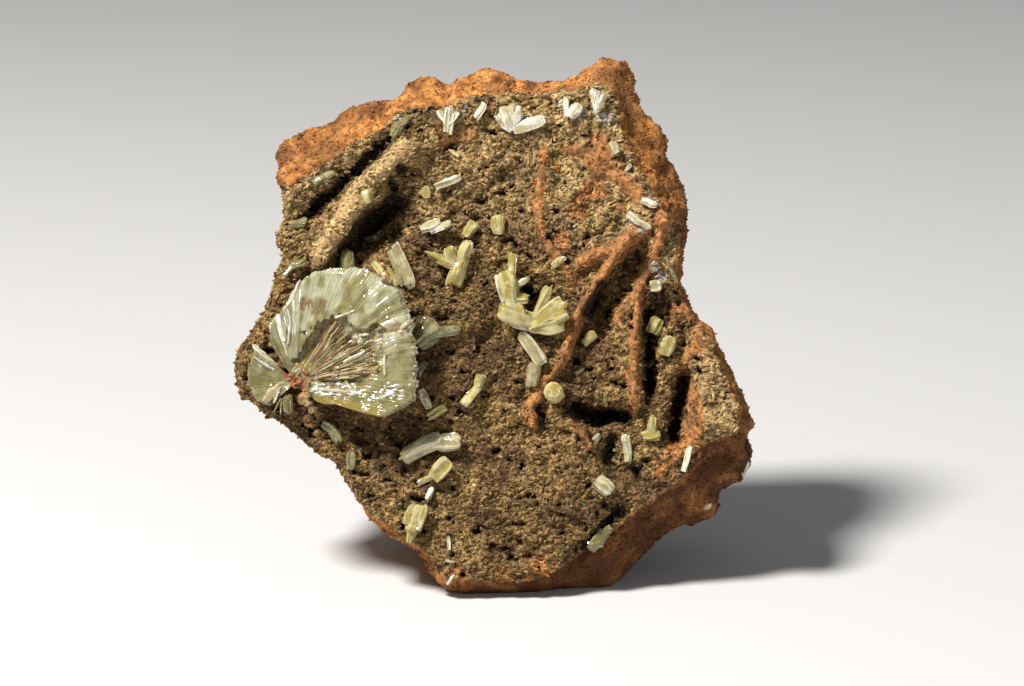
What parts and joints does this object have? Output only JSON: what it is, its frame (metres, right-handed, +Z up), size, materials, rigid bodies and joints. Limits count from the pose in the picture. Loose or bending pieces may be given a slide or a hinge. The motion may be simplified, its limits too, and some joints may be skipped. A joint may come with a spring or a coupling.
{
  "type": "mineral specimen",
  "caption": "Rough brown limonite block standing on its flat lower side, with a radiating fan of blades and small translucent yellow-green adamite crystals grown on its tall front face.",
  "frame": {"origin": "middle of the bounding box, at the level of the flat base", "axes": "+Z up; -Y out of the crystal face, which leans back by 14 degrees; +X to the right of the face"},
  "size_m": [0.0436, 0.0244, 0.0436],
  "materials": {
    "limonite": "rough, crumbly",
    "adamite": "vitreous, translucent",
    "pale_adamite": "vitreous, cloudy"
  },
  "bodies": {
    "root": {"adamite_spray": "adamite", "crystal_below_centre": "adamite", "crystal_bent_pair": "adamite", "crystal_beside_spray": "adamite", "crystal_bright_plate": "pale_adamite", "crystal_cavity_wedge": "adamite", "crystal_centre_group": "adamite", "crystal_club": "adamite", "crystal_corner_fan": "adamite", "crystal_corner_pair": "adamite", "crystal_corner_plate": "adamite", "crystal_cross": "adamite", "crystal_fibrous_block": "adamite", "crystal_fin_knob": "adamite", "crystal_foot_prism": "adamite", "crystal_knob": "adamite", "crystal_leaning_pair": "adamite", "crystal_left_prism": "adamite", "crystal_left_splinter": "adamite", "crystal_lobed": "pale_adamite", "crystal_low_wedge": "adamite", "crystal_recess_pair": "adamite", "crystal_rim_pair": "adamite", "crystal_rim_splinter": "adamite", "crystal_short_prism": "adamite", "crystal_silver_bar": "pale_adamite", "crystal_silver_streak": "pale_adamite", "crystal_slot_pair": "adamite", "crystal_spray_foot": "adamite", "crystal_striated_prism": "pale_adamite", "crystal_strip_prism": "adamite", "crystal_stub": "adamite", "crystal_top_fan": "adamite", "crystal_top_left_fan": "adamite", "crystal_top_splinter": "adamite", "crystal_trough_prism": "adamite", "crystal_under_spray": "adamite", "crystal_upper_prism": "pale_adamite", "crystal_upright": "adamite", "crystal_wall_splinters": "adamite", "crystal_white_bar": "pale_adamite", "crystal_white_block": "pale_adamite", "crystal_yellow_left": "adamite", "crystal_yellow_right": "adamite", "matrix": "limonite"}
  },
  "joints": []
}
